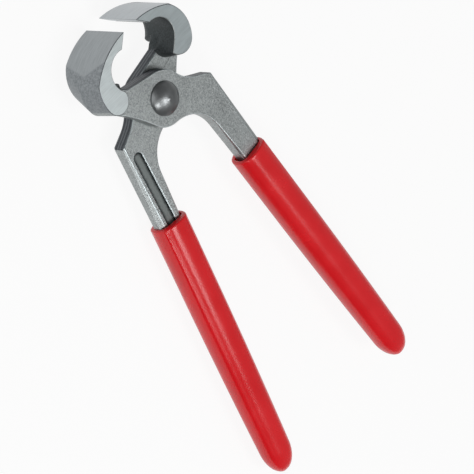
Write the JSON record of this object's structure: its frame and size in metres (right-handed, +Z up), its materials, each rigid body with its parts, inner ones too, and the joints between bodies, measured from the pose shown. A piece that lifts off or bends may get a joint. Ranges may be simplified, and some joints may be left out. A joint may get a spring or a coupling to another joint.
{
  "type": "end cutting nippers",
  "caption": "End cutting nippers: two forged halves turn on a domed rivet, with broad curved jaws, a round hollow between them and dipped sleeves on the handles.",
  "frame": {"origin": "under the middle of the tool as it lies flat with its jaws a little open, halfway along and halfway across, at the level of the jaws' lower side faces", "axes": "+X along the tool towards the cutting edges, +Z up along the rivet towards its domed head, +Y across the tool"},
  "size_m": [0.222, 0.0926, 0.0256],
  "materials": {
    "forged_steel": "satin, blasted forging with finely ground jaw faces",
    "rivet_steel": "polished, dark",
    "red_grip": "gloss, dipped"
  },
  "bodies": {
    "rear_half": {"rear_lever": "forged_steel", "pivot_rivet": "rivet_steel", "rear_grip": "red_grip"},
    "front_half": {"front_lever": "forged_steel", "front_grip": "red_grip"}
  },
  "joints": [
    {"name": "pivot_hinge", "type": "hinge", "parent": "rear_half", "child": "front_half", "pos_m": [0.0718, 0, 0.0128], "axis": [0, 0, 1], "range_deg": [-12, 32]}
  ]
}
